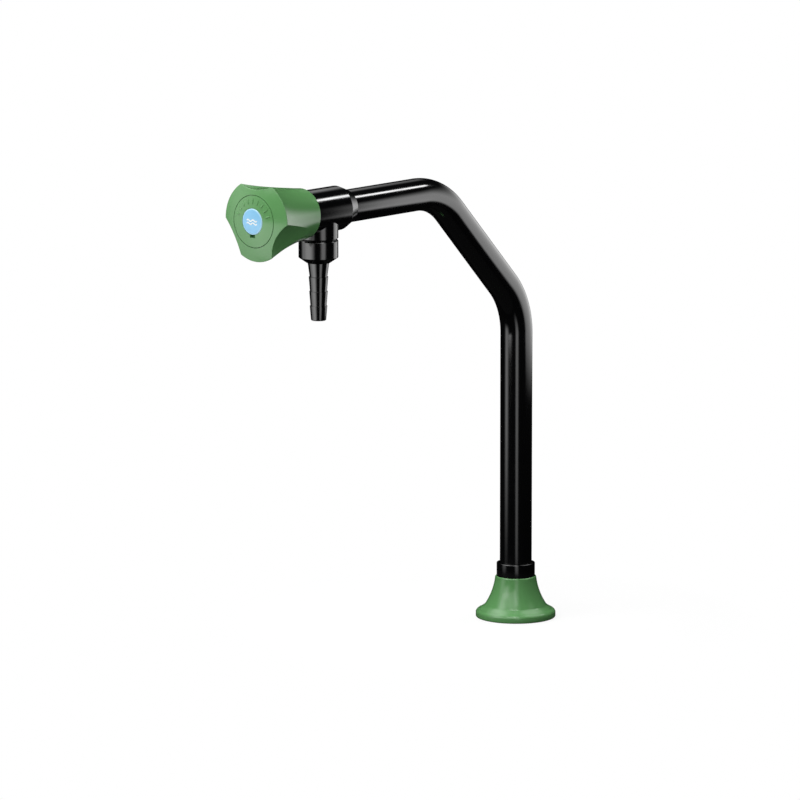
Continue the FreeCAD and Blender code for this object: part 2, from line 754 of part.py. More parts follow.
# Bonnet: screws into the body's front and carries the spindle
bonnet_gasket = body("bonnet_gasket", "arm")
turned(bonnet_gasket, "ring", [
    (at.chamber_radius, body_front_reach),
    (at.bonnet_flange_radius, body_front_reach),
    (at.bonnet_flange_radius, bonnet_seat_reach),
    (at.chamber_radius, bonnet_seat_reach),
])
bonnet = body("bonnet", "arm")
turned(bonnet, "barrel", [
    (journal_bore, bonnet_rear_reach),
    (at.chamber_radius - at.lead_in, bonnet_rear_reach),
    (at.chamber_radius, bonnet_rear_reach + at.lead_in),
    (at.chamber_radius, bonnet_seat_reach),
    (at.bonnet_flange_radius, bonnet_seat_reach),
    (at.bonnet_flange_radius, bonnet_neck_reach),
    (at.bonnet_neck_radius, bonnet_neck_reach),
    (at.bonnet_neck_radius, bonnet_front_reach),
    (journal_bore, bonnet_front_reach),
])
turned(bonnet, "thrust_bore", [
    (0, hex_bore_end_reach),
    (at.thrust_bore_radius, hex_bore_end_reach),
    (at.thrust_bore_radius, bonnet_neck_reach),
    (0, bonnet_neck_reach),
], kind="Groove")
pocket(bonnet, "hex_bore",
       polygon_sketch(bonnet, "hex_outline", at.carrier_flats + at.carrier_flats_gap, 6,
                      hex_bore_end_reach), hex_bore_end_reach - bonnet_rear_reach + at.cut_margin)

# Spindle: turned brass; it turns but does not rise, and its rear thread draws the carrier
spindle = body("spindle", "arm")
turned(spindle, "shaft", [
    (0, spindle_rear_reach),
    (at.spindle_thread_radius, spindle_rear_reach),
    (at.spindle_thread_radius, collar_rear_reach),
    (at.spindle_collar_radius, collar_rear_reach),
    (at.spindle_collar_radius, collar_front_reach),
    (at.journal_radius, collar_front_reach),
    (at.journal_radius, journal_front_reach),
    (0, journal_front_reach),
])
spindle_groove_width = at.spindle_seal_section * 2 + at.groove_side_gap * 2
ring_groove(spindle, "rear_seal_groove", rear_seal_reach, spindle_groove_width, spindle_seal_floor,
            at.journal_radius)
ring_groove(spindle, "front_seal_groove", front_seal_reach, spindle_groove_width,
            spindle_seal_floor, at.journal_radius)
ring_groove(spindle, "clip_groove", clip_reach + at.clip_thickness / 2, at.clip_thickness,
            at.journal_radius - at.clip_groove_depth, at.journal_radius)
pad(spindle, "drive_square",
    polygon_sketch(spindle, "drive_outline", at.drive_flats, 4, journal_front_reach), at.drive_length)
pocket(spindle, "knob_thread",
       circle_sketch(spindle, "XY_Plane", "thread_circle", at.knob_thread_radius, 0, 0, drive_front_reach),
       at.knob_thread_depth)

spindle_seal_mean = spindle_seal_floor + at.spindle_seal_section
spindle_seal_rear = ring("spindle_seal_rear", spindle_seal_mean, at.spindle_seal_section,
                         rear_seal_reach, "arm")
spindle_seal_front = ring("spindle_seal_front", spindle_seal_mean, at.spindle_seal_section,
                          front_seal_reach, "arm")

thrust_washer = body("thrust_washer", "arm")
turned(thrust_washer, "disc", [
    (at.journal_radius, collar_front_reach),
    (at.spindle_collar_radius, collar_front_reach),
    (at.spindle_collar_radius, collar_front_reach + at.thrust_washer_thickness),
    (at.journal_radius, collar_front_reach + at.thrust_washer_thickness),
])

# Snap ring in front of the bonnet: keeps the spindle from being pushed in
spindle_clip = body("spindle_clip", "arm")
clip_bore = at.journal_radius - at.clip_groove_depth
turned(spindle_clip, "ring", [
    (clip_bore, clip_reach),
    (at.clip_radius, clip_reach),
    (at.clip_radius, clip_reach + at.clip_thickness),
    (clip_bore, clip_reach + at.clip_thickness),
])
pocket(spindle_clip, "opening",
       box_sketch(spindle_clip, "XY_Plane", "opening_box", -clip_bore / 2, size_of(0), clip_bore / 2,
                  at.clip_radius + at.cut_margin, clip_reach + at.clip_thickness), at.clip_thickness)

# Carrier: a hexagon that slides in the bonnet, drawn along by the spindle's thread
jumper = body("jumper", "arm")
pad(jumper, "hexagon",
    polygon_sketch(jumper, "hex_outline", at.carrier_flats, 6, plate_front_reach),
    carrier_front_reach - plate_front_reach)
turned(jumper, "plate", [
    (0, plate_rear_reach),
    (at.carrier_plate_radius, plate_rear_reach),
    (at.carrier_plate_radius, plate_front_reach),
    (0, plate_front_reach),
])
pocket(jumper, "spindle_bore",
       circle_sketch(jumper, "XY_Plane", "bore_circle", at.spindle_thread_radius + at.running_gap, 0, 0,
                     carrier_front_reach), carrier_front_reach - carrier_bore_reach)
pocket(jumper, "screw_bore",
       circle_sketch(jumper, "XY_Plane", "screw_circle", at.washer_screw_radius, 0, 0, plate_rear_reach),
       at.washer_screw_depth, True)
seat_washer = body("seat_washer", "arm")
turned(seat_washer, "disc", [
    (at.washer_screw_radius, washer_rear_reach),
    (at.seat_washer_radius, washer_rear_reach),
    (at.seat_washer_radius, plate_rear_reach),
    (at.washer_screw_radius, plate_rear_reach),
])
washer_screw = body("washer_screw", "arm")
turned(washer_screw, "screw", [
    (0, washer_rear_reach - at.washer_screw_head_height),
    (at.washer_screw_head_radius, washer_rear_reach - at.washer_screw_head_height),
    (at.washer_screw_head_radius, washer_rear_reach),
    (at.washer_screw_radius, washer_rear_reach),
    (at.washer_screw_radius, plate_rear_reach + at.washer_screw_depth),
    (0, plate_rear_reach + at.washer_screw_depth),
])

# Knob: a green moulding, flared to the front, with three flutes that fade out towards the rear;
# hollow behind, round a central hub. The outline stands in the middle of a flute, so that the
# seam of its surface is cut away there.
knob_body = body("knob_body", "arm")
turned(knob_body, "flare", [
    (0, knob_rear_reach),
    (at.knob_rear_radius - at.knob_rear_edge, knob_rear_reach),
    (at.knob_rear_radius, knob_rear_reach + at.knob_rear_edge),
    (at.knob_front_radius, dome_reach(at.knob_front_radius)),
    (0, dome_top_reach),
], {1: (at.knob_rear_edge, 1), 2: (at.knob_flare_radius, -1), 3: (at.knob_dome_radius, 1)},
    plane="YZ_Plane")
flute_front = circle_sketch(knob_body, "XY_Plane", "flute_front", at.flute_radius, 0,
                            at.flute_floor_radius + at.flute_radius, dome_top_reach + at.cut_margin)
flute_rear = circle_sketch(knob_body, "XY_Plane", "flute_rear", at.flute_rear_radius, 0,
                           at.flute_rear_floor_radius + at.flute_rear_radius,
                           knob_rear_reach - at.cut_margin)
flute = knob_body.newObject("PartDesign::SubtractiveLoft", "knob_body_flute")
flute.Profile = flute_front
flute.Sections = [flute_rear]
flute.Ruled = True
doc.recompute()
flutes = knob_body.newObject("PartDesign::PolarPattern", "knob_body_flutes")
flutes.Originals = [flute]
flutes.Axis = (flute_front, ["N_Axis"])
flutes.Angle = 360
flutes.Occurrences = 3
knob_body.Tip = flutes
doc.recompute()
dressed(knob_body, "Fillet", "lobe_edge",
        edges_between(knob_body, "bsplinesurface", "toroid"), at.knob_lobe_edge)
dome_face = ["Face{}".format(i) for i, face in enumerate(knob_body.Shape.Faces, start=1)
             if face_name(face) == "sphere"]
dressed(knob_body, "Fillet", "front_edge", dome_face, at.knob_front_edge)
turned(knob_body, "cavity", [
    (0, knob_rear_reach - at.cut_margin),
    (at.knob_cavity_radius, knob_rear_reach - at.cut_margin),
    (at.knob_cavity_front_radius, hub_front_reach),
    (at.hub_radius, hub_front_reach),
    (at.hub_radius, journal_front_reach),
    (0, journal_front_reach),
], kind="Groove")
turned(knob_body, "front_well", [
    (0, journal_front_reach - at.cut_margin),
    (at.insert_radius, journal_front_reach - at.cut_margin),
    (at.insert_radius, hub_front_reach),
    (at.well_radius, hub_front_reach),
    (at.well_radius, cap_floor_reach),
    (at.cap_radius, cap_floor_reach),
    (at.cap_radius, dome_top_reach + at.cut_margin),
    (0, dome_top_reach + at.cut_margin),
], kind="Groove")

knob_insert = body("knob_insert", "arm")
turned(knob_insert, "sleeve", [
    (0, journal_front_reach),
    (at.insert_radius, journal_front_reach),
    (at.insert_radius, hub_front_reach),
    (0, hub_front_reach),
])
pocket(knob_insert, "square_bore",
       polygon_sketch(knob_insert, "square_outline", at.drive_flats + at.slip_gap, 4,
                      hub_front_reach + at.cut_margin),
       hub_front_reach - journal_front_reach + at.cut_margin * 2)

knob_screw_washer = body("knob_screw_washer", "arm")
washer_front_reach = hub_front_reach + at.knob_washer_thickness
turned(knob_screw_washer, "disc", [
    (at.knob_thread_radius, hub_front_reach),
    (at.knob_washer_radius, hub_front_reach),
    (at.knob_washer_radius, washer_front_reach),
    (at.knob_thread_radius, washer_front_reach),
])
knob_screw = body("knob_screw", "arm")
turned(knob_screw, "screw", [
    (0, hub_front_reach - at.knob_screw_length),
    (at.knob_thread_radius, hub_front_reach - at.knob_screw_length),
    (at.knob_thread_radius, washer_front_reach),
    (at.knob_screw_head_radius, washer_front_reach),
    (at.knob_screw_head_radius, washer_front_reach + at.knob_screw_head_height),
    (0, washer_front_reach + at.knob_screw_head_height),
])
slot_reach = at.knob_screw_head_radius + at.cut_margin
pocket(knob_screw, "driver_slot",
       box_sketch(knob_screw, "XY_Plane", "slot_box", -slot_reach, -at.knob_screw_slot_width / 2,
                  slot_reach, at.knob_screw_slot_width / 2,
                  washer_front_reach + at.knob_screw_head_height), at.knob_screw_slot_depth)

# Cap: snaps into the knob's front; it carries raised flow marks and the coloured disc
knob_cap = body("knob_cap", "arm")
cap_rim = at.cap_radius - at.cap_gap
skirt_outer = at.well_radius - at.slip_gap
skirt_inner = skirt_outer - at.cap_skirt_wall
disc_seat = at.disc_radius + at.disc_gap
disc_floor_reach = dome_reach(at.disc_radius) + at.disc_proud - at.disc_thickness
turned(knob_cap, "dome", [
    (0, cap_floor_reach),
    (skirt_inner, cap_floor_reach),
    (skirt_inner, cap_floor_reach - at.cap_skirt_length),
    (skirt_outer, cap_floor_reach - at.cap_skirt_length),
    (skirt_outer, cap_floor_reach),
    (cap_rim, cap_floor_reach),
    (cap_rim, dome_reach(cap_rim)),
    (disc_seat, dome_reach(disc_seat)),
    (disc_seat, disc_floor_reach),
    (0, disc_floor_reach),
], {6: (at.knob_dome_radius, 1)})
slot_top = -at.disc_radius
pocket(knob_cap, "pry_slot",
       box_sketch(knob_cap, "XY_Plane", "slot_box", -at.slot_width / 2, slot_top - at.slot_height,
                  at.slot_width / 2, slot_top, dome_reach(at.disc_radius)), at.slot_depth)
tick_inner = at.tick_radius - at.tick_length / 2
tick_outer = at.tick_radius + at.tick_length / 2
tick_outline = sketch_on(knob_cap, "XZ_Plane", "tick_outline")
first_tick = Size("(90 - sizes.tick_spacing_angle * {})".format((TICK_COUNT - 1) / 2),
                  90 - at.tick_spacing_angle.number * (TICK_COUNT - 1) / 2)
tick_outline.AttachmentOffset = FreeCAD.Placement(
    FreeCAD.Vector(0, 0, 0), FreeCAD.Rotation(FreeCAD.Vector(0, 1, 0), first_tick.number))
tick_outline.setExpression("AttachmentOffset.Rotation.Angle", first_tick.text)
outline(tick_outline, [
    (tick_inner, dome_reach(tick_inner) - at.tick_height),
    (tick_outer, dome_reach(tick_outer) - at.tick_height),
    (tick_outer, dome_reach(tick_outer) + at.tick_height),
    (tick_inner, dome_reach(tick_inner) + at.tick_height),
])
tick = knob_cap.newObject("PartDesign::Revolution", "knob_cap_tick")
tick.Profile = tick_outline
tick.ReferenceAxis = (tick_outline, ["V_Axis"])
tick.setExpression("Angle", (at.tick_width / at.tick_radius * (180 / math.pi)).text)
tick.Midplane = True
doc.recompute()
ticks = knob_cap.newObject("PartDesign::PolarPattern", "knob_cap_ticks")
ticks.Originals = [tick]
ticks.Axis = (knob_cap.Origin.OriginFeatures[2], [""])
ticks.setExpression("Angle", (at.tick_spacing_angle * (TICK_COUNT - 1)).text)
ticks.Occurrences = TICK_COUNT
knob_cap.Tip = ticks
doc.recompute()

colour_disc = body("colour_disc", "arm")
disc_rim_reach = dome_reach(at.disc_radius) + at.disc_proud
turned(colour_disc, "dome", [
    (0, disc_floor_reach),
    (at.disc_radius, disc_floor_reach),
    (at.disc_radius, disc_rim_reach),
    (0, dome_top_reach + at.disc_proud),
], {2: (at.knob_dome_radius, 1)})

doc.recompute()
PIECES = [o for o in doc.Objects if o.TypeId in ("PartDesign::Body", "Part::Torus")]
faults = [o.Label for o in doc.Objects if "Invalid" in o.State or "Error" in o.State]
faults += [o.Label for o in PIECES if o.Shape.isNull() or not o.Shape.isValid() or not o.Shape.Solids]
if faults:
    raise ValueError("failed: " + ", ".join(faults))
os.makedirs("parts", exist_ok=True)
for piece in PIECES:
    piece.Shape.exportStep("parts/{}.step".format(piece.Label))
    print("{:20s} {:10.1f} mm3".format(piece.Label, piece.Shape.Volume))
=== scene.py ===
import math

import bmesh
import bpy
from mathutils import Matrix, Vector


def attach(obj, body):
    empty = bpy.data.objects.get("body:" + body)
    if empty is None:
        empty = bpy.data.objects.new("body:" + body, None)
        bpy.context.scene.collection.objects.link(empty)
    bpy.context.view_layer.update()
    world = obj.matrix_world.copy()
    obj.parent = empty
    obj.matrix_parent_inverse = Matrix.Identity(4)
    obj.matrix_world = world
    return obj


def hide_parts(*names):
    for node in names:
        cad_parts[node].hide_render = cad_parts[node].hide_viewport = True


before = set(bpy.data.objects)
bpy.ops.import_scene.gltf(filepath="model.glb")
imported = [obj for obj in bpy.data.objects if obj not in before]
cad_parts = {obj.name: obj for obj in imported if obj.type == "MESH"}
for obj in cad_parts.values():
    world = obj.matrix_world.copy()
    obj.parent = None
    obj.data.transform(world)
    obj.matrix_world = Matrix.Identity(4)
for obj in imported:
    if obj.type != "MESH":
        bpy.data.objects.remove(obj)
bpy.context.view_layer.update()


# Foot body: a turned brass socket with a black stove-enamel coat. Its disc is drawn down on the
# bench by the supply pipe, which screws in from below, and its collar rises out of the bell. The
# column turns in it, and a grub screw at the back holds the column down.
MM = 0.001
TURN = 2 * math.pi
UPRIGHT = Matrix.Identity(4)
SHARP_EDGE = math.radians(38)
EASE_LIMIT = 0.48
FOOT_DISC_RADIUS = 19.0
FOOT_DISC_TOP = 4.0
COLLAR_RADIUS = 12.0
COLLAR_TOP = 34.6
SOCKET_MOUTH_RADIUS = 11.0
SOCKET_MOUTH_DEPTH = 2.0
SOCKET_RADIUS = 10.05
SOCKET_FLOOR = 13.0
WATER_WAY_RADIUS = 6.0
DECK_GROOVE_INNER = 12.75
DECK_GROOVE_OUTER = 14.75
DECK_GROOVE_DEPTH = 1.6
GRIP_GROOVE_MIDDLE = 19.6
GRIP_GROOVE_HALF_WIDTH = 0.65
GRIP_GROOVE_DEPTH = 1.0
THREAD_RADIUS = 7.475
THREAD_LENGTH = 11.0
THREAD_PITCH = 1.337
THREAD_DEPTH = 0.8
THREAD_PEAK = 1.1
THREAD_FLANK = 3.2
THREAD_RINGS = 88
GRUB_HEIGHT = 29.85
GRUB_HOLE_RADIUS = 2.08


def node_maker(tree):
    """A function that adds a node to a tree. Its inputs are plain values or nodes' sockets."""

    def add(kind, inputs=None, **settings):
        node = tree.nodes.new(kind)
        for key, value in settings.items():
            setattr(node, key, value)
        for key, value in (inputs or {}).items():
            if isinstance(value, bpy.types.NodeSocket):
                tree.links.new(value, node.inputs[key])
            else:
                node.inputs[key].default_value = value
        return node

    return add


class Finish:
    """A material in the making: its surface shader, and patterns in the piece's own space."""

    def __init__(self, name):
        self.material = bpy.data.materials.new(name)
        self.material.use_nodes = True
        self.tree = self.material.node_tree
        self.add = node_maker(self.tree)
        self.shader = self.tree.nodes["Principled BSDF"]
        self.place = self.add("ShaderNodeTexCoord").outputs["Object"]

    def fix(self, quality, value):
        """Sets a quality of the surface that is the same all over."""
        self.shader.inputs[quality].default_value = value

    def feed(self, quality, pattern):
        """Lets a pattern drive a quality of the surface."""
        self.tree.links.new(pattern, self.shader.inputs[quality])

    def cloud(self, scale, detail, place=None, **more):
        """A cloudy pattern from 0 to 1; scale is its count of clouds in a metre."""
        place = self.place if place is None else place
        inputs = {"Vector": place, "Scale": scale, "Detail": detail, **more}
        return self.add("ShaderNodeTexNoise", inputs).outputs["Fac"]

    def tint(self, pattern, first, second):
        """A colour that a pattern moves between two: the node's inputs 6 and 7, its output 2."""
        mix = self.add("ShaderNodeMix", {0: pattern, 6: first, 7: second}, data_type="RGBA")
        return mix.outputs[2]

    def spread(self, pattern, low, high):
        """The middle of a pattern's range, stretched from low to high."""
        span = {"Value": pattern, "From Min": 0.3, "From Max": 0.7, "To Min": low, "To Max": high}
        return self.add("ShaderNodeMapRange", span).outputs["Result"]

    def relief(self, pattern, strength, depth):
        """A pattern as fine bumps, with their depth in metres."""
        bumps = {"Height": pattern, "Strength": strength, "Distance": depth}
        return self.add("ShaderNodeBump", bumps).outputs["Normal"]


def black_enamel():
    """Gloss black stove enamel: deep black, wiped clean, with a sprayed coat's faint waviness."""
    coat = Finish("black_enamel")
    coat.fix("IOR", 1.5)
    coat.fix("Specular IOR Level", 1.0)
    dust = coat.cloud(220.0, 6.0, Roughness=0.7)
    coat.feed("Base Color", coat.tint(dust, (0.0010, 0.0010, 0.0012, 1), (0.0026, 0.0027, 0.0030, 1)))
    wipes = coat.cloud(60.0, 4.0)
    coat.feed("Roughness", coat.spread(wipes, 0.10, 0.15))
    peel = coat.cloud(700.0, 2.0)
    coat.feed("Normal", coat.relief(peel, 0.05, 0.0001))
    return coat.material


def eased(corners, steps=5):
    """An outline with its corners rounded. A corner is (radius, height) or (radius, height, ease),
    and an ease takes up less than half of each side."""
    points = []
    for i, corner in enumerate(corners):
        here = Vector(corner[:2])
        if len(corner) == 2:
            points.append(tuple(here))
            continue
        back = Vector(corners[i - 1][:2]) - here
        ahead = Vector(corners[(i + 1) % len(corners)][:2]) - here
        half = back.angle(ahead) / 2
        reach = min(corner[2] / math.tan(half), back.length * EASE_LIMIT, ahead.length * EASE_LIMIT)
        start = here + back.normalized() * reach
        end = here + ahead.normalized() * reach
        for step in range(steps + 1):
            share = step / steps
            bend = start * (1 - share) ** 2 + here * 2 * share * (1 - share) + end * share ** 2
            points.append(tuple(bend))
    return points


def turned(outline, around=144, place=UPRIGHT, waver=None):
    """Vertices and faces of a closed outline in millimetres, spun about its axis. A waver gives
    an added radius by radius, height and angle, as a thread needs."""
    verts = []
    rings = []
    faces = []
    for radius, height in outline:
        if radius == 0:
            rings.append([len(verts)] * around)
            verts.append(place @ Vector((0, 0, height)) * MM)
            continue
        rings.append(range(len(verts), len(verts) + around))
        for step in range(around):
            angle = TURN * step / around
            out = radius + (waver(radius, height, angle) if waver else 0)
            verts.append(place @ Vector((out * math.cos(angle), out * math.sin(angle), height)) * MM)
    for here, above in zip(rings, rings[1:] + rings[:1]):
        for step in range(around):
            ahead = (step + 1) % around
            corners = dict.fromkeys((here[step], here[ahead], above[ahead], above[step]))
            if len(corners) > 2:
                faces.append(tuple(corners))
    return verts, faces


def raw_mesh(name, verts, faces):
    """A mesh whose faces all look outwards."""
    mesh = bpy.data.meshes.new(name)
    mesh.from_pydata(verts, [], faces)
    shell = bmesh.new()
    shell.from_mesh(mesh)
    bmesh.ops.recalc_face_normals(shell, faces=shell.faces)
    shell.to_mesh(mesh)
    shell.free()
    return mesh


def fitted(name, shape, material, body, replaced, tools=()):
    """A finished piece that rides in its node's place. Tools are closed shapes that are cut out
    of it (DIFFERENCE) or grown on it (UNION), each as (operation, shape)."""
    piece = bpy.data.objects.new(name, raw_mesh(name, *shape))
    bpy.context.scene.collection.objects.link(piece)
    for operation, tool_shape in tools:
        tool = bpy.data.objects.new(name + "_tool", raw_mesh(name + "_tool", *tool_shape))
        bpy.context.scene.collection.objects.link(tool)
        step = piece.modifiers.new(operation, "BOOLEAN")
        step.operation = operation
        step.solver = "EXACT"
        step.object = tool
        seen = piece.evaluated_get(bpy.context.evaluated_depsgraph_get())
        piece.data = bpy.data.meshes.new_from_object(seen)
        piece.modifiers.clear()
        bpy.data.objects.remove(tool)
    mesh = piece.data
    mesh.name = name
    mesh.polygons.foreach_set("use_smooth", [True] * len(mesh.polygons))
    mesh.set_sharp_from_angle(angle=SHARP_EDGE)
    mesh.materials.clear()
    mesh.materials.append(material)
    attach(piece, body)
    if replaced:
        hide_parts(replaced)


def supply_thread(radius, height, angle):
    """The pipe thread's groove: a vee along the pitch, which fades out at the thread's two ends."""
    if abs(radius - THREAD_RADIUS) > 0.001 or not 0 < height < THREAD_LENGTH:
        return 0
    along = (height / THREAD_PITCH - angle / TURN) % 1
    fade = min(1, height / THREAD_PITCH, (THREAD_LENGTH - height) / THREAD_PITCH)
    return THREAD_DEPTH * fade * max(0, THREAD_PEAK - abs(along - 0.5) * THREAD_FLANK)


def bar(radius, start, end, around=48):
    """A plain round bar between two points in millimetres."""
    start = Vector(start)
    along = Vector(end) - start
    place = Matrix.Translation(start) @ along.to_track_quat("Z", "Y").to_matrix().to_4x4()
    return turned([(0, 0), (radius, 0), (radius, along.length), (0, along.length)], around, place)


BLACK = black_enamel()
socket_mouth_floor = COLLAR_TOP - SOCKET_MOUTH_DEPTH
grip_groove_floor = COLLAR_RADIUS - GRIP_GROOVE_DEPTH
grip_groove_low = GRIP_GROOVE_MIDDLE - GRIP_GROOVE_HALF_WIDTH
grip_groove_high = GRIP_GROOVE_MIDDLE + GRIP_GROOVE_HALF_WIDTH
thread_rings = [(THREAD_RADIUS, THREAD_LENGTH * i / THREAD_RINGS) for i in range(THREAD_RINGS, 0, -1)]
foot_outline = eased([
    (FOOT_DISC_RADIUS, 0.0, 0.2),
    (FOOT_DISC_RADIUS, FOOT_DISC_TOP, 0.3),
    (COLLAR_RADIUS, FOOT_DISC_TOP),
    (COLLAR_RADIUS, grip_groove_low, 0.1),
    (grip_groove_floor, grip_groove_low),
    (grip_groove_floor, grip_groove_high),
    (COLLAR_RADIUS, grip_groove_high, 0.1),
    (COLLAR_RADIUS, COLLAR_TOP, 0.8),
    (SOCKET_MOUTH_RADIUS, COLLAR_TOP, 0.25),
    (SOCKET_MOUTH_RADIUS, socket_mouth_floor),
    (SOCKET_RADIUS, socket_mouth_floor, 0.2),
    (SOCKET_RADIUS, SOCKET_FLOOR),
    (WATER_WAY_RADIUS, SOCKET_FLOOR),
    (WATER_WAY_RADIUS, THREAD_LENGTH),
]) + thread_rings + eased([
    (THREAD_RADIUS, 0.0),
    (DECK_GROOVE_INNER, 0.0),
    (DECK_GROOVE_INNER, DECK_GROOVE_DEPTH),
    (DECK_GROOVE_OUTER, DECK_GROOVE_DEPTH),
    (DECK_GROOVE_OUTER, 0.0),
])
grub_hole = bar(GRUB_HOLE_RADIUS, (0, SOCKET_RADIUS - 1.5, GRUB_HEIGHT),
                (0, COLLAR_RADIUS + 1, GRUB_HEIGHT))
fitted("foot_socket", turned(foot_outline, waver=supply_thread), BLACK, "foot", "foot_body",
       [("DIFFERENCE", grub_hole)])


# Rubber rings of the foot: one in the foot's underside seals it on the bench, and one round the
# collar grips the bell. Both are moulded nitrile O-rings, pushed into turned grooves.
def nitrile_rubber():
    """Black nitrile: dull, with a fine bloom and the pores of the mould."""
    ring = Finish("nitrile_rubber")
    bloom = ring.cloud(380.0, 5.0)
    ring.feed("Base Color", ring.tint(bloom, (0.008, 0.008, 0.009, 1), (0.026, 0.026, 0.027, 1)))
    ring.fix("Roughness", 0.62)
    pores = ring.cloud(4200.0, 2.0)
    ring.feed("Normal", ring.relief(pores, 0.25, 0.00005))
    return ring.material


def dressed(label, material):
    """Gives a piece that keeps its own solid a finish."""
    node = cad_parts[label]
    node.data.materials.clear()
    node.data.materials.append(material)


RUBBER = nitrile_rubber()
dressed("foot_seal", RUBBER)
dressed("flange_grip_ring", RUBBER)


# Bell flange: an injection-moulded cover in green plastic, pushed down over the collar. Its rim
# stands on the bench, and its flare narrows to a thin rounded mouth round the black collar.
LEFT = 1
RIGHT = -1
RIM_RADIUS = 25.0
RIM_EDGE = 0.8
RIM_TOP = 3.2
SHOULDER = (22.7, 5.2)
SHOULDER_RADIUS = 3.0
SLOPE_TOP = (20.05, 7.05)
FLARE_FOOT = (19.0, 8.2)
FLARE_FILLET = 2.9
FLARE_RADIUS = 40.3
MOUTH = (12.9, 25.3)
MOUTH_BORE = 12.1
MOUTH_TOP = 26.1
BORE_BOTTOM = 14.33
INNER_SHOULDER = (13.43, 13.0)
INNER_KNEE = (16.1, 6.75)
INNER_FOOT_RADIUS = 17.55
DISC_RECESS_RADIUS = FOOT_DISC_RADIUS + 0.1


def green_plastic():
    """Green moulded plastic: a satin skin, the faint flow of the melt and a fine mould grain."""
    moulding = Finish("green_plastic")
    flow = moulding.cloud(45.0, 3.0, Distortion=0.6)
    moulding.feed("Base Color", moulding.tint(flow, (0.106, 0.284, 0.096, 1), (0.112, 0.296, 0.102, 1)))
    skin = moulding.cloud(130.0, 4.0)
    moulding.feed("Roughness", moulding.spread(skin, 0.15, 0.19))
    grain = moulding.cloud(2600.0, 2.0)
    moulding.feed("Normal", moulding.relief(grain, 0.06, 0.00005))
    return moulding.material


def bent(start, end, radius, side, steps=14):
    """The points between two corners on an arc, its centre on the LEFT or the RIGHT."""
    start = Vector(start)
    end = Vector(end)
    half = (end - start) / 2
    normal = Vector((-half.y, half.x)).normalized()
    centre = (start + end) / 2 + normal * side * math.sqrt(max(radius ** 2 - half.length ** 2, 0))
    first = math.atan2(*(start - centre).yx)
    sweep = (math.atan2(*(end - centre).yx) - first + math.pi) % TURN - math.pi
    angles = [first + sweep * step / steps for step in range(1, steps)]
    return [(centre.x + radius * math.cos(a), centre.y + radius * math.sin(a)) for a in angles]


GREEN = green_plastic()
bell_outline = [
    (DISC_RECESS_RADIUS, 0.0),
    (RIM_RADIUS - RIM_EDGE, 0.0),
    *bent((RIM_RADIUS - RIM_EDGE, 0.0), (RIM_RADIUS, RIM_EDGE), RIM_EDGE, LEFT, steps=6),
    (RIM_RADIUS, RIM_EDGE),
    (RIM_RADIUS, RIM_TOP),
    *bent((RIM_RADIUS, RIM_TOP), SHOULDER, SHOULDER_RADIUS, LEFT),
    SHOULDER,
    SLOPE_TOP,
    *bent(SLOPE_TOP, FLARE_FOOT, FLARE_FILLET, RIGHT, steps=8),
    FLARE_FOOT,
    *bent(FLARE_FOOT, MOUTH, FLARE_RADIUS, RIGHT, steps=26),
    MOUTH,
    *bent(MOUTH, (MOUTH_BORE, MOUTH_TOP), MOUTH_TOP - MOUTH[1], LEFT, steps=7),
    (MOUTH_BORE, MOUTH_TOP),
    (MOUTH_BORE, BORE_BOTTOM),
    INNER_SHOULDER,
    INNER_KNEE,
    (INNER_FOOT_RADIUS, FOOT_DISC_TOP),
    (DISC_RECESS_RADIUS, FOOT_DISC_TOP),
]
fitted("bell_flange", turned(bell_outline), GREEN, "foot", "base_flange")


# Swivel tail: a turned brass spigot, brazed into the tube's lower end and greased. Two O-rings
# seal it in the socket, a slit plastic ring takes the side load, and the grub screw's tip runs
# in its groove.
ARM_HEIGHT = 277.6
BRASS_TONE = (0.78, 0.55, 0.24)
STEEL_TONE = (0.60, 0.59, 0.57)


def machined(name, tone, polish, on_arm):
    """Turned metal: fine tool marks in rings about the column's or the arm's axis."""
    metal = Finish(name)
    axes = metal.add("ShaderNodeSeparateXYZ", {0: metal.place})
    if on_arm:
        rise = metal.add("ShaderNodeMath", {0: axes.outputs["Z"], 1: -ARM_HEIGHT * MM}, operation="ADD")
        side = rise.outputs[0]
        along = axes.outputs["Y"]
    else:
        side = axes.outputs["Y"]
        along = axes.outputs["Z"]
    across = metal.add("ShaderNodeCombineXYZ", {0: axes.outputs["X"], 1: side})
    radius = metal.add("ShaderNodeVectorMath", {0: across.outputs[0]}, operation="LENGTH")
    rings = metal.add("ShaderNodeCombineXYZ", {0: radius.outputs["Value"], 1: along})
    marks = metal.cloud(5200.0, 3.0, rings.outputs[0])
    stain = metal.cloud(90.0, 4.0)
    stained = (tone[0] * 0.86, tone[1] * 0.84, tone[2] * 0.80, 1)
    metal.feed("Base Color", metal.tint(stain, (*tone, 1), stained))
    metal.fix("Metallic", 1.0)
    metal.feed("Roughness", metal.spread(marks, polish, polish + 0.14))
    metal.feed("Normal", metal.relief(marks, 0.2, 0.00003))
    return metal.material


def white_plastic():
    """White bearing plastic: waxy and a little mottled."""
    wax = Finish("white_plastic")
    mottle = wax.cloud(240.0, 3.0)
    wax.feed("Base Color", wax.tint(mottle, (0.80, 0.79, 0.75, 1), (0.87, 0.87, 0.84, 1)))
    wax.fix("Roughness", 0.42)
    return wax.material


COLUMN_BRASS = machined("brass_on_column", BRASS_TONE, 0.18, False)
COLUMN_STEEL = machined("steel_on_column", STEEL_TONE, 0.2, False)
WHITE = white_plastic()
dressed("column_spigot", COLUMN_BRASS)
dressed("swivel_seal_lower", RUBBER)
dressed("swivel_seal_upper", RUBBER)
dressed("guide_ring", WHITE)
dressed("swivel_grub_screw", COLUMN_STEEL)


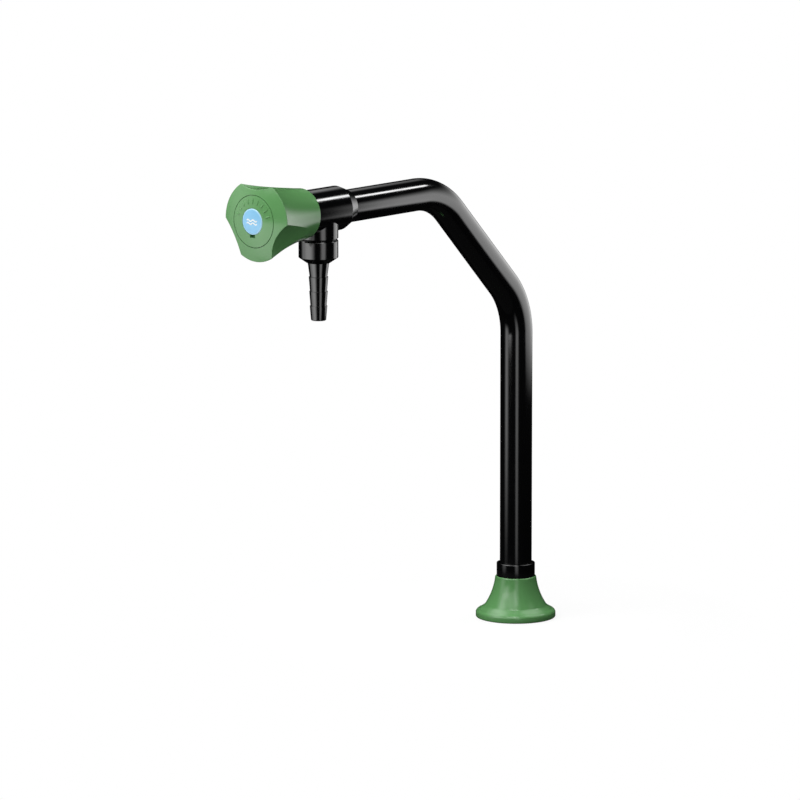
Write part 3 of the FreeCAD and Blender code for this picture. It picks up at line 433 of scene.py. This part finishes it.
# Column: one length of drawn 20 mm brass tube, bent twice on the same former and enamelled
# black. Its lower end sits on the swivel tail's shoulder, and its front end in the valve body.
TUBE_RADIUS = 10.0
TUBE_BORE = 8.5
TUBE_FOOT = 33.6
TUBE_END = 174.0
BEND_RADIUS = 46.0
BEND_ANGLE = math.radians(45)
ELBOW = 78.5


def column_path(steps=40):
    """Centre points and headings of the tube in millimetres; a heading of 0 is straight up."""
    setback = BEND_RADIUS * math.tan(BEND_ANGLE / 2)
    points = [(0.0, TUBE_FOOT, 0.0)]
    for y, z, lead in ((0.0, ARM_HEIGHT - ELBOW, 0.0), (-ELBOW, ARM_HEIGHT, BEND_ANGLE)):
        along = Vector((-math.sin(lead), math.cos(lead)))
        inward = Vector((-math.cos(lead), -math.sin(lead)))
        centre = Vector((y, z)) - along * setback + inward * BEND_RADIUS
        for step in range(steps + 1):
            heading = lead + BEND_ANGLE * step / steps
            out = Vector((math.cos(heading), math.sin(heading)))
            points.append((*(centre + out * BEND_RADIUS), heading))
    points.append((-TUBE_END, ARM_HEIGHT, BEND_ANGLE * 2))
    return points


def drawn_tube(path, outer, inner, around=144):
    """A tube's outside and bore along a path, joined by its two end faces."""
    verts = []
    faces = []
    rings = [(outer, point) for point in path] + [(inner, point) for point in reversed(path)]
    for radius, (y, z, heading) in rings:
        out = Vector((0, math.cos(heading), math.sin(heading)))
        for step in range(around):
            angle = TURN * step / around
            spoke = Vector((1, 0, 0)) * math.sin(angle) + out * math.cos(angle)
            verts.append((Vector((0, y, z)) + spoke * radius) * MM)
    for ring in range(len(rings)):
        above = (ring + 1) % len(rings)
        for step in range(around):
            ahead = (step + 1) % around
            faces.append((ring * around + step, ring * around + ahead,
                          above * around + ahead, above * around + step))
    return verts, faces


fitted("column", drawn_tube(column_path(), TUBE_RADIUS, TUBE_BORE), BLACK, "arm", "column_tube")


# Valve body: a brass drum turned in one piece with its outlet boss, then enamelled. It is brazed
# on the tube's end, and a stainless seat ring is pressed into its partition.
ARM_STEEL = machined("steel_on_arm", STEEL_TONE, 0.2, True)
dressed("valve_body", BLACK)
dressed("valve_seat", ARM_STEEL)


# Outlet union: a round nut screwed up on the boss holds the nozzle's flange on a rubber ring. Nut
# and nozzle are turned brass, enamelled like the body. The nozzle has four hose barbs: a long
# first one, and three stepped ones below it.
OUTLET = Matrix.Translation((0, -186.4, ARM_HEIGHT))
NUT_RADIUS = 12.0
NUT_BORE = 9.0
NUT_EYE = 6.55
NUT_CHAMFER = 1.0
NUT_TOP = -17.05
NUT_BOTTOM = -28.05
CONE_BOTTOM = -31.4
CONE_END_RADIUS = 7.1
FLANGE_TOP = -25.95
FLANGE_BOTTOM = -27.95
FLANGE_RADIUS = 8.7
SHANK_RADIUS = 6.5
FIRST_BARB_END = -39.95
FIRST_BARB_WAIST = 5.33
STEPPED_BARBS = 3
BARB_PITCH = 8.85
BARB_RADIUS = 5.86
BARB_STEP_DOWN = 0.28
BARB_TAPER = 0.7
TIP_CHAMFER = 0.4
NOZZLE_BORE = 3.2
dressed("nozzle_gasket", RUBBER)
nut_outline = eased([
    (NUT_BORE, NUT_TOP),
    (NUT_BORE, FLANGE_BOTTOM),
    (NUT_EYE, FLANGE_BOTTOM),
    (NUT_EYE, CONE_BOTTOM),
    (CONE_END_RADIUS, CONE_BOTTOM, 0.15),
    (NUT_RADIUS, NUT_BOTTOM, 0.3),
    (NUT_RADIUS, NUT_TOP - NUT_CHAMFER, 0.25),
    (NUT_RADIUS - NUT_CHAMFER, NUT_TOP, 0.25),
])
fitted("union_nut", turned(nut_outline, place=OUTLET), BLACK, "arm", "outlet_nut")
nozzle_corners = [
    (NOZZLE_BORE, FLANGE_TOP),
    (FLANGE_RADIUS, FLANGE_TOP),
    (FLANGE_RADIUS, FLANGE_BOTTOM),
    (SHANK_RADIUS, FLANGE_BOTTOM),
    (SHANK_RADIUS, CONE_BOTTOM),
    (FIRST_BARB_WAIST, FIRST_BARB_END, 0.04),
]
for i in range(STEPPED_BARBS):
    barb_top = FIRST_BARB_END - BARB_PITCH * i
    barb_bottom = barb_top - BARB_PITCH
    lip = BARB_RADIUS - BARB_STEP_DOWN * i
    waist = lip - BARB_TAPER
    nozzle_corners.append((lip, barb_top, 0.05))
    if i < STEPPED_BARBS - 1:
        nozzle_corners.append((waist, barb_bottom, 0.05))
nozzle_corners += [
    (waist, barb_bottom + TIP_CHAMFER, 0.15),
    (waist - TIP_CHAMFER, barb_bottom, 0.15),
    (NOZZLE_BORE, barb_bottom, 0.12),
]
fitted("nozzle", turned(eased(nozzle_corners), place=OUTLET), BLACK, "arm", "hose_nozzle")


# Headwork: the bonnet screws into the body's front on a fibre ring and carries the spindle,
# which two O-rings seal. A thrust washer and a snap ring hold the spindle lengthways.
def red_fibre():
    """Vulcanised fibre: red-brown and dull, with short fibres pressed flat."""
    board = Finish("red_fibre")
    pressed = board.add("ShaderNodeVectorMath", {0: board.place, 1: (900.0, 5200.0, 900.0)},
                        operation="MULTIPLY")
    fibres = board.cloud(1.0, 5.0, pressed.outputs[0])
    board.feed("Base Color", board.tint(fibres, (0.17, 0.035, 0.022, 1), (0.34, 0.085, 0.05, 1)))
    board.fix("Roughness", 0.78)
    board.feed("Normal", board.relief(fibres, 0.4, 0.00005))
    return board.material


ARM_BRASS = machined("brass_on_arm", BRASS_TONE, 0.18, True)
dressed("bonnet", ARM_BRASS)
dressed("bonnet_gasket", red_fibre())
dressed("spindle", ARM_BRASS)
dressed("spindle_seal_rear", RUBBER)
dressed("spindle_seal_front", RUBBER)
dressed("thrust_washer", WHITE)
dressed("spindle_clip", ARM_STEEL)


# Carrier: a brass hexagon that slides in the bonnet, drawn along by the spindle's thread. A
# stainless screw holds the rubber washer on its rear face, which closes on the seat.
dressed("jumper", ARM_BRASS)
dressed("seat_washer", RUBBER)
dressed("washer_screw", ARM_STEEL)


# Knob: a green moulding with three lobes that flare to the front, hollow behind. The brass
# sleeve with the square bore is moulded in its hub, and one screw with a washer holds it on.
dressed("knob_body", GREEN)
dressed("knob_insert", ARM_BRASS)
dressed("knob_screw_washer", ARM_STEEL)
dressed("knob_screw", ARM_STEEL)


# Cap: a green moulding snapped into the knob's face over the screw. It follows the knob's dome,
# has raised flow marks that fan over its upper half, and a slot under the disc to prise it out.
ARM = Matrix.Translation((0, 0, ARM_HEIGHT)) @ Matrix.Rotation(math.radians(90), 4, "X")
DOME_RADIUS = 78.0
DOME_CENTRE = 168.159
CAP_RADIUS = 15.6
CAP_FLOOR = 242.3
SKIRT_INNER = 4.6
SKIRT_OUTER = 5.9
SKIRT_END = 240.5
DISC_RADIUS = 7.95
DISC_SEAT_RADIUS = 8.06
DISC_FLOOR = 244.55
SLOT_WIDTH = 4.1
SLOT_HEIGHT = 1.7
SLOT_DEPTH = 2.5
SLOT_UNDERCUT = 0.3
MARK_COUNT = 9
MARK_SPACING = math.radians(18)
MARK_INNER = 10.8
MARK_OUTER = 14.0
MARK_HALF_WIDTH = 0.45
MARK_HEIGHT = 0.45


def dome(radius):
    """How far forward the knob's domed face stands at a radius from its axis."""
    return DOME_CENTRE + math.sqrt(DOME_RADIUS ** 2 - radius ** 2)


def box_shape(low, high, place=UPRIGHT):
    """A plain block between two corners in millimetres."""
    corners = [(x, y, z) for x in (low[0], high[0]) for y in (low[1], high[1]) for z in (low[2], high[2])]
    faces = [(0, 1, 3, 2), (4, 6, 7, 5), (0, 4, 5, 1), (2, 3, 7, 6), (0, 2, 6, 4), (1, 5, 7, 3)]
    return [place @ Vector(corner) * MM for corner in corners], faces


def flow_mark(angle, stations=9, around=10):
    """One raised mark: a round-topped bar along a spoke of the dome, drawn in at its two ends."""
    verts = []
    faces = []
    spoke = Vector((math.cos(angle), math.sin(angle)))
    side = Vector((-spoke.y, spoke.x))
    for station in range(stations):
        share = station / (stations - 1)
        radius = MARK_INNER + (MARK_OUTER - MARK_INNER) * share
        fullness = max(0.25, 1 - abs(2 * share - 1) ** 5) ** 0.5
        for step in range(around):
            turn = TURN * step / around
            flat = spoke * radius + side * MARK_HALF_WIDTH * fullness * math.cos(turn)
            height = dome(flat.length) + MARK_HEIGHT * fullness * math.sin(turn)
            verts.append(ARM @ Vector((flat.x, flat.y, height)) * MM)
    for station in range(stations - 1):
        for step in range(around):
            ahead = (step + 1) % around
            base = station * around
            faces.append((base + step, base + ahead, base + around + ahead, base + around + step))
    faces.append(tuple(range(around)))
    faces.append(tuple(range((stations - 1) * around, stations * around)))
    return verts, faces


cap_dome = [(r, dome(r)) for r in (15.0, 14.0, 13.0, 12.0, 11.0, 10.0, 9.0)]
cap_outline = eased([
    (0, CAP_FLOOR),
    (SKIRT_INNER, CAP_FLOOR),
    (SKIRT_INNER, SKIRT_END),
    (SKIRT_OUTER, SKIRT_END),
    (SKIRT_OUTER, CAP_FLOOR),
    (CAP_RADIUS, CAP_FLOOR),
    (CAP_RADIUS, dome(CAP_RADIUS), 0.06),
    *cap_dome,
    (DISC_SEAT_RADIUS, dome(DISC_SEAT_RADIUS), 0.1),
    (DISC_SEAT_RADIUS, DISC_FLOOR),
    (0, DISC_FLOOR),
])
slot_top = dome(DISC_RADIUS)
pry_slot = box_shape((-SLOT_WIDTH / 2, -DISC_RADIUS - SLOT_HEIGHT, slot_top - SLOT_DEPTH),
                     (SLOT_WIDTH / 2, -DISC_RADIUS + SLOT_UNDERCUT, slot_top + 1), ARM)
marks = [flow_mark(math.pi / 2 + MARK_SPACING * (i - (MARK_COUNT - 1) / 2)) for i in range(MARK_COUNT)]
fitted("knob_front_cap", turned(cap_outline, place=ARM), GREEN, "knob", "knob_cap",
       [("DIFFERENCE", pry_slot)] + [("UNION", mark) for mark in marks])


# Colour disc: a pale blue moulding for cold water, pressed into the cap, domed like it with a
# softly rounded edge. Two white waves are printed on it.
DISC_PROUD = 0.12
DISC_EDGE = 0.75
# Width in millimetres of the painted highlight that makes the disc's rim paler.
PAINTED_RIM_HIGHLIGHT_WIDTH = 1.0
WAVE_LENGTH = 4.0
WAVE_HALF_SPAN = 4.0
WAVE_HEIGHT = 0.5
WAVE_HALF_STROKE = 0.36
WAVE_ROWS = (0.75, -1.05)
PRINT_THICKNESS = 0.02


def blue_plastic():
    """Pale blue moulded plastic, glossier than the green, with a faint flow of the melt. Its colour is
    painted paler along the disc's rim, a painted highlight for the light that its clear skin gathers."""
    lens = Finish("blue_plastic")
    flow = lens.cloud(160.0, 3.0, Distortion=0.5)
    tone = lens.tint(flow, (0.218, 0.515, 0.780, 1), (0.243, 0.550, 0.810, 1))
    flat = lens.add("ShaderNodeVectorMath", {0: lens.place, 1: (0, 0, -ARM_HEIGHT * MM)}, operation="ADD")
    flat = lens.add("ShaderNodeVectorMath", {0: flat.outputs[0], 1: (1, 0, 1)}, operation="MULTIPLY")
    reach = lens.add("ShaderNodeVectorMath", {0: flat.outputs[0]}, operation="LENGTH")
    # Painted highlight: the blue turns towards a pale cyan over the outer part of the disc's radius.
    painted_rim_highlight = lens.add("ShaderNodeMapRange", {
        "Value": reach.outputs["Value"], "From Min": (DISC_RADIUS - PAINTED_RIM_HIGHLIGHT_WIDTH) * MM,
        "From Max": DISC_RADIUS * MM, "To Max": 0.85})
    lens.feed("Base Color", lens.tint(painted_rim_highlight.outputs["Result"], tone, (0.56, 0.80, 0.88, 1)))
    lens.fix("Roughness", 0.18)
    grain = lens.cloud(2600.0, 2.0)
    lens.feed("Normal", lens.relief(grain, 0.03, 0.00005))
    return lens.material


def printed_wave(row, steps=48):
    """A wavy ribbon of ink that lies on the disc's dome."""
    verts = []
    faces = []
    for step in range(steps + 1):
        x = WAVE_HALF_SPAN * (2 * step / steps - 1)
        y = row + WAVE_HEIGHT * math.sin(TURN * x / WAVE_LENGTH)
        slope = math.atan(WAVE_HEIGHT * TURN / WAVE_LENGTH * math.cos(TURN * x / WAVE_LENGTH))
        stroke = Vector((-math.sin(slope), math.cos(slope))) * WAVE_HALF_STROKE
        for side, lift in ((-1, -1), (1, -1), (1, 1), (-1, 1)):
            spot = Vector((x, y)) + stroke * side
            height = dome(spot.length) + DISC_PROUD + PRINT_THICKNESS * lift
            verts.append(ARM @ Vector((spot.x, spot.y, height)) * MM)
    for step in range(steps):
        for side in range(4):
            ahead = (side + 1) % 4
            faces.append((step * 4 + side, step * 4 + ahead, step * 4 + 4 + ahead, step * 4 + 4 + side))
    faces.append((0, 1, 2, 3))
    faces.append(tuple(steps * 4 + side for side in range(4)))
    return verts, faces


disc_dome = [(r, dome(r) + DISC_PROUD) for r in (6.2, 5.0, 4.0, 3.0, 2.0, 1.0, 0)]
disc_outline = eased([
    (0, DISC_FLOOR),
    (DISC_RADIUS, DISC_FLOOR),
    (DISC_RADIUS, dome(DISC_RADIUS) + DISC_PROUD, DISC_EDGE),
    *disc_dome,
])
fitted("cold_disc", turned(disc_outline, place=ARM), blue_plastic(), "knob", "colour_disc")
for number, row in enumerate(WAVE_ROWS, start=1):
    fitted("printed_wave_{}".format(number), printed_wave(row), WHITE, "knob", None)


# Bench: a plain pale disc under the tap, with its sizes in metres. It looks white to the camera
# and keeps a faint shadow, and it is dim in the gloss, as the dark studio round the pictured
# tap is.
BENCH_RADIUS = 0.17
BENCH_MIDDLE = (0, -0.02, -0.0001)
SHADOW_REACH = 0.45
SHADOW_END = 0.98
SHADOW_WASH = 0.80


def pale_bench():
    """White to the camera, with a wash of its own light that grows towards the disc's edge, so
    that the tap's shadow stays near the foot. All other rays but those through glass see it dark."""
    top = Finish("bench_top")
    path = top.add("ShaderNodeLightPath")
    speckle = top.cloud(900.0, 3.0)
    pale = top.tint(speckle, (0.88, 0.88, 0.88, 1), (0.93, 0.93, 0.93, 1))
    seen = top.add("ShaderNodeMath", {
        0: path.outputs["Is Camera Ray"], 1: path.outputs["Is Transmission Ray"]}, operation="MAXIMUM")
    top.feed("Base Color", top.tint(seen.outputs[0], (0.01, 0.01, 0.01, 1), pale))
    top.fix("Roughness", 0.9)
    top.fix("Specular IOR Level", 0.1)
    reach = top.add("ShaderNodeVectorMath", {0: top.place}, operation="LENGTH")
    wash = top.add("ShaderNodeMapRange", {
        "Value": reach.outputs["Value"], "From Min": BENCH_RADIUS * SHADOW_REACH,
        "From Max": BENCH_RADIUS * SHADOW_END, "To Min": SHADOW_WASH, "To Max": 1.0})
    glow = top.add("ShaderNodeEmission", {"Color": (1, 1, 1, 1), "Strength": 1.0})
    share = top.add("ShaderNodeMath", {0: path.outputs["Is Camera Ray"], 1: wash.outputs["Result"]},
                    operation="MULTIPLY")
    mix = top.add("ShaderNodeMixShader", {0: share.outputs[0], 1: top.shader.outputs[0], 2: glow.outputs[0]})
    top.tree.links.new(mix.outputs[0], top.tree.nodes["Material Output"].inputs["Surface"])
    return top.material


bpy.ops.mesh.primitive_circle_add(vertices=160, radius=BENCH_RADIUS, fill_type="NGON", location=BENCH_MIDDLE)
bench = bpy.context.object
bench.name = "bench_top"
bench.data.materials.append(pale_bench())


# Studio lights: eight diffusers round the tap, each fading towards its edges. They stand where
# the reflections in the pictured enamel put them, and light the greens at a plain level.
AIM = Vector((-0.01529, -0.09347, 0.14823))


def diffuser(name, place, size, radiance, soft):
    """A rectangular light that faces the tap. Its place is a heading (0 is +X, 90 is +Y), an
    elevation in degrees and a distance in metres. Its size is a width and a height in metres, and
    soft gives the shares of its half width and half height over which it fades."""
    heading = math.radians(place[0])
    elevation = math.radians(place[1])
    lamp = bpy.data.lights.new(name, "AREA")
    lamp.shape = "RECTANGLE"
    lamp.size, lamp.size_y = size
    lamp.energy = radiance * math.pi * size[0] * size[1]
    lamp.use_nodes = True
    add = node_maker(lamp.node_tree)
    spot = add("ShaderNodeNewGeometry")
    axes = add("ShaderNodeSeparateXYZ", {0: spot.outputs["Parametric"]})
    fades = []
    for axis, share in zip(axes.outputs, soft):
        off = add("ShaderNodeMath", {0: axis, 1: 0.5}, operation="SUBTRACT")
        reach = add("ShaderNodeMath", {0: off.outputs[0]}, operation="ABSOLUTE")
        fade = add("ShaderNodeMapRange", {
            "Value": reach.outputs[0], "From Min": 0.5 * (1 - share), "From Max": 0.5,
            "To Min": 1.0, "To Max": 0.0}, interpolation_type="SMOOTHSTEP")
        fades.append(fade.outputs[0])
    both = add("ShaderNodeMath", {0: fades[0], 1: fades[1]}, operation="MULTIPLY")
    lamp.node_tree.links.new(both.outputs[0], lamp.node_tree.nodes["Emission"].inputs["Strength"])
    flat = math.cos(elevation)
    away = Vector((math.cos(heading) * flat, math.sin(heading) * flat, math.sin(elevation)))
    light = bpy.data.objects.new(name, lamp)
    light.location = AIM + away * place[2]
    light.rotation_euler = (-away).to_track_quat("-Z", "Y").to_euler()
    light.visible_camera = False
    bpy.context.scene.collection.objects.link(light)


diffuser("near_left", place=(-97.3, 5.5, 0.33), size=(0.35, 0.16), radiance=2.36, soft=(0.94, 0.11))
diffuser("left", place=(-128.1, 6.1, 0.42), size=(0.4, 0.57), radiance=1.33, soft=(0.95, 0.51))
diffuser("camera_side", place=(-33.9, 11.6, 0.35), size=(0.21, 0.92), radiance=1.41, soft=(0.77, 0.96))
diffuser("arm_side", place=(66.0, 23.0, 0.2), size=(0.3, 0.25), radiance=1.85, soft=(0.42, 0.6))
diffuser("top_strip", place=(68.6, 41.1, 2.03), size=(0.4, 0.41), radiance=10.76, soft=(0.72, 0.68))
diffuser("rear_left", place=(189.7, 57.5, 0.82), size=(2.6, 0.75), radiance=3.3, soft=(1.0, 0.98))
diffuser("front_key", place=(-83.7, 37.6, 1.85), size=(2.6, 1.34), radiance=1.83, soft=(0.05, 0.22))
diffuser("overhead", place=(-60.0, 72.0, 0.9), size=(0.7, 0.5), radiance=6.75, soft=(0.6, 0.6))


# Studio backdrop: white where the camera looks past the tap or through it, a weak fill for plain
# surfaces, and nearly dark in the gloss.
FILL = 0.04
GLOSS_BACKDROP = 0.004
world = bpy.data.worlds.new("studio")
world.use_nodes = True
bpy.context.scene.world = world
sky = world.node_tree
add_to_sky = node_maker(sky)
rays = add_to_sky("ShaderNodeLightPath")
in_view = add_to_sky("ShaderNodeMath", {
    0: rays.outputs["Is Camera Ray"], 1: rays.outputs["Is Transmission Ray"]}, operation="MAXIMUM")
dim = add_to_sky("ShaderNodeMapRange", {
    "Value": rays.outputs["Is Glossy Ray"], "To Min": FILL, "To Max": GLOSS_BACKDROP})
strength = add_to_sky("ShaderNodeMath", {0: in_view.outputs[0], 1: dim.outputs[0]}, operation="MAXIMUM")
sky.nodes["Background"].inputs["Color"].default_value = (1, 1, 1, 1)
sky.links.new(strength.outputs[0], sky.nodes["Background"].inputs["Strength"])


# Camera: a long lens four metres off, a little above the tap and to the right of its knob. It
# aims at the point that all the lights face.
FOCAL_LENGTH = 307.68
SENSOR_WIDTH = 36
BACK = Vector((0.64235531, -0.74674702, 0.17247765))
DISTANCE = 4.20567
long_lens = bpy.data.cameras.new("camera")
long_lens.lens = FOCAL_LENGTH
long_lens.sensor_width = SENSOR_WIDTH
camera = bpy.data.objects.new("camera", long_lens)
camera.location = AIM + BACK * DISTANCE
camera.rotation_euler = (-BACK).to_track_quat("-Z", "Y").to_euler()
bpy.context.scene.collection.objects.link(camera)
bpy.context.scene.camera = camera
bpy.context.scene.view_settings.view_transform = "Standard"
